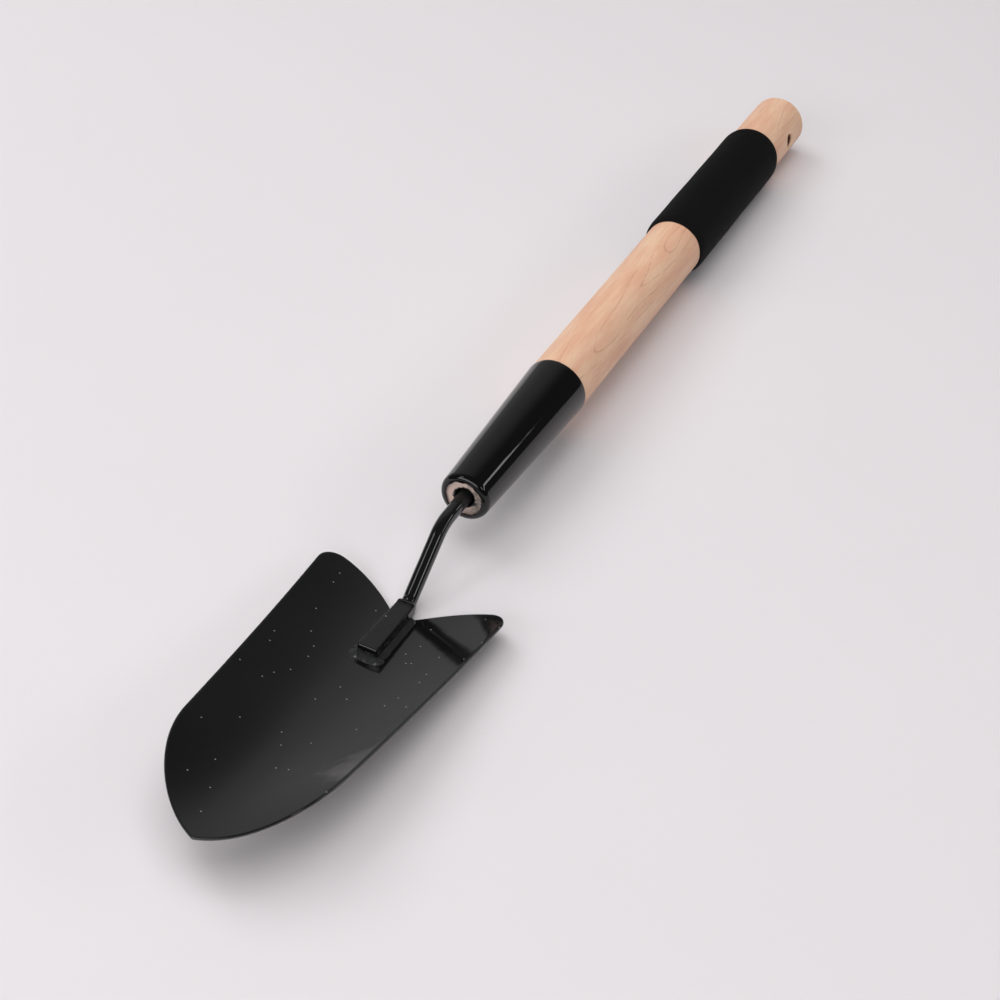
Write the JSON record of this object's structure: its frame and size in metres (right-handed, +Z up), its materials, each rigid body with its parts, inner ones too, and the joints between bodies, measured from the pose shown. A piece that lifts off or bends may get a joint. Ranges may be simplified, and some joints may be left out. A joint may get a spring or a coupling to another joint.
{
  "type": "hand transplanter",
  "caption": "Long-handled garden trowel: dished spade-shaped steel blade on a cranked bar, turned wooden handle with a dipped front sleeve, foam grip and hanging hole.",
  "frame": {"origin": "bottom centre of the tool's box as it lies on a flat floor, blade hollow side up", "axes": "+X towards the blade's tip, +Y to the tool's left, +Z up; the handle's axis rises 1.6 degrees towards the tip"},
  "size_m": [0.6148, 0.0888, 0.0395],
  "materials": {
    "black_enamel": "smooth semi-gloss black powder coat on steel",
    "pale_wood": "pale close-grained hardwood, sanded, thin matt varnish",
    "black_vinyl": "glossy dipped vinyl",
    "black_foam": "matt fine-celled foam",
    "amber_glue": "set glue, hidden in the bore"
  },
  "bodies": {
    "root": {"blade": "black_enamel", "neck_bar": "black_enamel", "front_weld_bead": "black_enamel", "left_weld_bead": "black_enamel", "right_weld_bead": "black_enamel", "wood_handle": "pale_wood", "front_sleeve": "black_vinyl", "foam_grip": "black_foam", "tang_glue": "amber_glue"}
  },
  "joints": []
}
